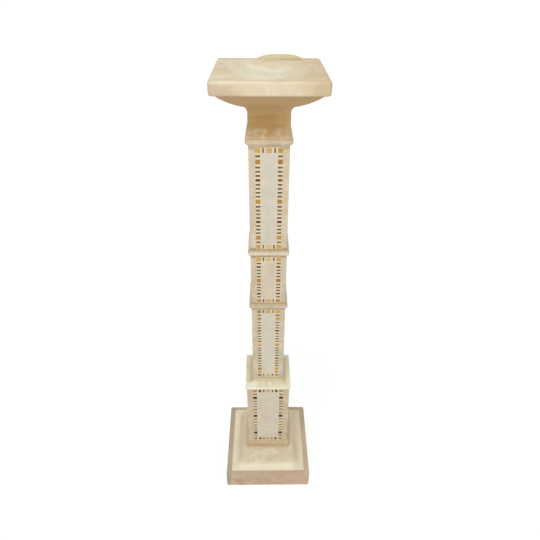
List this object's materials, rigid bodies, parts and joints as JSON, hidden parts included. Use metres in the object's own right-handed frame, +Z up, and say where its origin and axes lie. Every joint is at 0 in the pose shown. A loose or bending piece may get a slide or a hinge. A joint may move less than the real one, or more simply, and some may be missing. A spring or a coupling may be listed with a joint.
{
  "type": "baptismal font",
  "caption": "Square stone baptismal font: slab with a shallow water dish on a slim stepped pedestal of stacked shafts with mosaic borders, on a flared tile and plinth.",
  "frame": {"origin": "centre of the plinth's underside, on the floor", "axes": "+Z up, -Y towards the viewer's front face, +X to the right; the low crest stands on the +Y edge"},
  "size_m": [0.2326, 0.2326, 1.1095],
  "materials": {
    "pink_limestone": "honed pinkish-brown limestone, faintly mottled",
    "cream_limestone": "honed cream limestone with faint pale veins",
    "warm_limestone": "honed warm beige limestone of the shafts",
    "amber_limestone": "honed amber limestone of the neck",
    "banded_basin_stone": "polished cream stone with broad soft bands",
    "grey_field_stone": "honed greyish limestone of the plain fields",
    "mosaic_cement": "fine cream cement, rubbed level",
    "gold_glass": "gold-leaf glass tesserae, glossy and a little uneven",
    "pale_gold_glass": "pale gold glass tesserae, satin",
    "dark_stone_tessera": "near-black stone tesserae, polished",
    "brown_stone_tessera": "brown stone tesserae, polished",
    "red_stone_tessera": "red-brown stone tesserae, polished",
    "zinc_steel": "zinc-plated steel rod, washer and nut",
    "brass_socket": "turned brass"
  },
  "bodies": {
    "root": {"plinth": "pink_limestone", "base_tile": "cream_limestone", "foot_block": "warm_limestone", "lower_shaft": "warm_limestone", "waist_collar": "cream_limestone", "stem_shaft_lower": "warm_limestone", "lower_ring": "cream_limestone", "stem_shaft_middle": "warm_limestone", "upper_ring": "cream_limestone", "stem_shaft_upper": "warm_limestone", "neck_ring": "cream_limestone", "neck": "amber_limestone", "basin": "banded_basin_stone", "lower_field": "grey_field_stone", "stem_lower_field": "grey_field_stone", "stem_middle_field": "grey_field_stone", "stem_upper_field": "grey_field_stone", "lower_bed": "mosaic_cement", "stem_lower_bed": "mosaic_cement", "stem_middle_bed": "mosaic_cement", "stem_upper_bed": "mosaic_cement", "gold_tesserae": "gold_glass", "pale_gold_tesserae": "pale_gold_glass", "dark_tesserae": "dark_stone_tessera", "brown_tesserae": "brown_stone_tessera", "red_tesserae": "red_stone_tessera", "tie_rod": "zinc_steel", "tie_washer": "zinc_steel", "tie_nut": "zinc_steel", "rod_socket": "brass_socket"}
  },
  "joints": []
}
